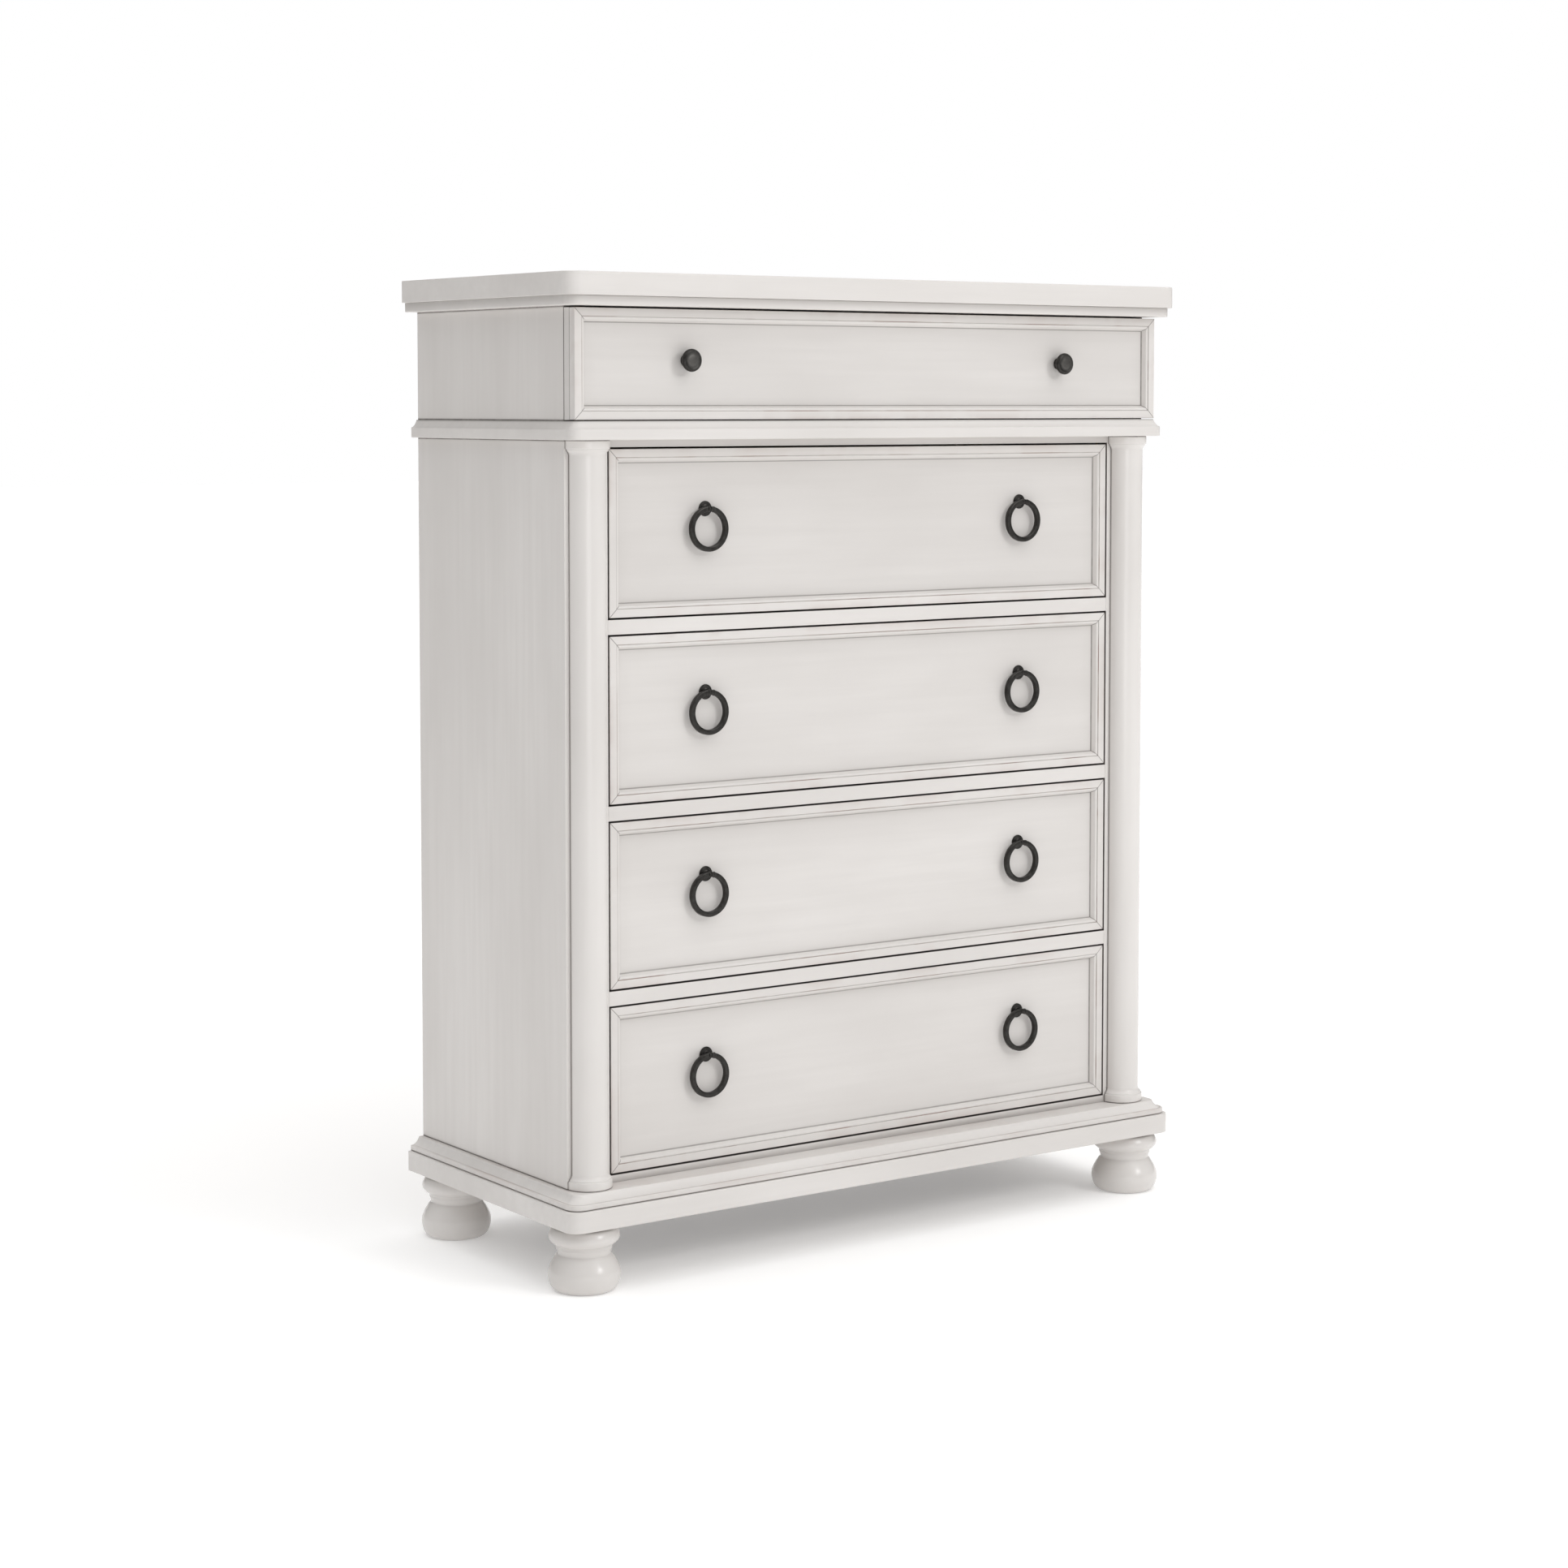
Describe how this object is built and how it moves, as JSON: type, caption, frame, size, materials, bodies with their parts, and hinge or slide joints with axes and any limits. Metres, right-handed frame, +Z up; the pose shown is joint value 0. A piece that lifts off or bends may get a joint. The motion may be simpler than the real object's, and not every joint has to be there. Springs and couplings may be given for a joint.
{
  "type": "tall chest of drawers",
  "caption": "Tall painted chest with a shallow knobbed overlay drawer above deeper inset drawers with ring pulls, half-round columns, moulded base and turned bun feet.",
  "frame": {"origin": "on the floor under the middle of the chest's bounding box", "axes": "+Z up, +X towards the right-hand side seen from the front, +Y towards the back, drawers open towards -Y"},
  "size_m": [1.06, 0.448, 1.359],
  "materials": {
    "antique_paint": "satin antique-white paint, brushed and lightly glazed, worn on the moulding edges",
    "dark_bronze": "dark oil-rubbed bronze, satin",
    "bare_wood": "planed unfinished softwood",
    "drawer_wood": "clear-lacquered hardwood",
    "drawer_board": "veneered plywood",
    "back_board": "hardboard"
  },
  "bodies": {
    "case": {"top_board": "antique_paint", "top_moulding": "antique_paint", "top_rail": "antique_paint", "side_panel_left": "antique_paint", "side_panel_right": "antique_paint", "back_panel": "back_board", "stile_left": "antique_paint", "stile_right": "antique_paint", "column_left": "antique_paint", "column_right": "antique_paint", "waist_moulding": "antique_paint", "waist_rail": "antique_paint", "upper_rail": "antique_paint", "rail_1": "antique_paint", "rail_2": "antique_paint", "rail_3": "antique_paint", "bottom_rail": "antique_paint", "base_moulding": "antique_paint", "base_slab": "antique_paint", "foot_front_left": "antique_paint", "foot_front_right": "antique_paint", "foot_rear_left": "antique_paint", "foot_rear_right": "antique_paint", "runner_frame_left": "bare_wood", "runner_frame_right": "bare_wood"},
    "drawer_1": {"drawer_1_front": "antique_paint", "drawer_1_frame": "antique_paint", "drawer_1_box": "drawer_wood", "drawer_1_bottom": "drawer_board", "knob_left": "dark_bronze", "knob_right": "dark_bronze"},
    "drawer_2": {"drawer_2_front": "antique_paint", "drawer_2_box": "drawer_wood", "drawer_2_bottom": "drawer_board", "post_2_left": "dark_bronze", "post_2_right": "dark_bronze"},
    "drawer_3": {"drawer_3_front": "antique_paint", "drawer_3_box": "drawer_wood", "drawer_3_bottom": "drawer_board", "post_3_left": "dark_bronze", "post_3_right": "dark_bronze"},
    "drawer_4": {"drawer_4_front": "antique_paint", "drawer_4_box": "drawer_wood", "drawer_4_bottom": "drawer_board", "post_4_left": "dark_bronze", "post_4_right": "dark_bronze"},
    "drawer_5": {"drawer_5_front": "antique_paint", "drawer_5_box": "drawer_wood", "drawer_5_bottom": "drawer_board", "post_5_left": "dark_bronze", "post_5_right": "dark_bronze"},
    "ring_2_left": {"ring_2_left": "dark_bronze"},
    "ring_2_right": {"ring_2_right": "dark_bronze"},
    "ring_3_left": {"ring_3_left": "dark_bronze"},
    "ring_3_right": {"ring_3_right": "dark_bronze"},
    "ring_4_left": {"ring_4_left": "dark_bronze"},
    "ring_4_right": {"ring_4_right": "dark_bronze"},
    "ring_5_left": {"ring_5_left": "dark_bronze"},
    "ring_5_right": {"ring_5_right": "dark_bronze"}
  },
  "joints": [
    {"name": "drawer_1_slide", "type": "slide", "parent": "case", "child": "drawer_1", "axis": [0, -1, 0], "range_m": [0, 0.29]},
    {"name": "drawer_2_slide", "type": "slide", "parent": "case", "child": "drawer_2", "axis": [0, -1, 0], "range_m": [0, 0.29]},
    {"name": "drawer_3_slide", "type": "slide", "parent": "case", "child": "drawer_3", "axis": [0, -1, 0], "range_m": [0, 0.29]},
    {"name": "drawer_4_slide", "type": "slide", "parent": "case", "child": "drawer_4", "axis": [0, -1, 0], "range_m": [0, 0.29]},
    {"name": "drawer_5_slide", "type": "slide", "parent": "case", "child": "drawer_5", "axis": [0, -1, 0], "range_m": [0, 0.29]},
    {"name": "ring_2_left_hinge", "type": "hinge", "parent": "drawer_2", "child": "ring_2_left", "pos_m": [-0.2765, -0.1725, 1.04375], "axis": [-1, 0, 0], "range_deg": [-5, 175]},
    {"name": "ring_2_right_hinge", "type": "hinge", "parent": "drawer_2", "child": "ring_2_right", "pos_m": [0.2765, -0.1725, 1.04375], "axis": [-1, 0, 0], "range_deg": [-5, 175]},
    {"name": "ring_3_left_hinge", "type": "hinge", "parent": "drawer_3", "child": "ring_3_left", "pos_m": [-0.2765, -0.1725, 0.79325], "axis": [-1, 0, 0], "range_deg": [-5, 175]},
    {"name": "ring_3_right_hinge", "type": "hinge", "parent": "drawer_3", "child": "ring_3_right", "pos_m": [0.2765, -0.1725, 0.79325], "axis": [-1, 0, 0], "range_deg": [-5, 175]},
    {"name": "ring_4_left_hinge", "type": "hinge", "parent": "drawer_4", "child": "ring_4_left", "pos_m": [-0.2765, -0.1725, 0.54275], "axis": [-1, 0, 0], "range_deg": [-5, 175]},
    {"name": "ring_4_right_hinge", "type": "hinge", "parent": "drawer_4", "child": "ring_4_right", "pos_m": [0.2765, -0.1725, 0.54275], "axis": [-1, 0, 0], "range_deg": [-5, 175]},
    {"name": "ring_5_left_hinge", "type": "hinge", "parent": "drawer_5", "child": "ring_5_left", "pos_m": [-0.2765, -0.1725, 0.29225], "axis": [-1, 0, 0], "range_deg": [-5, 175]},
    {"name": "ring_5_right_hinge", "type": "hinge", "parent": "drawer_5", "child": "ring_5_right", "pos_m": [0.2765, -0.1725, 0.29225], "axis": [-1, 0, 0], "range_deg": [-5, 175]}
  ]
}
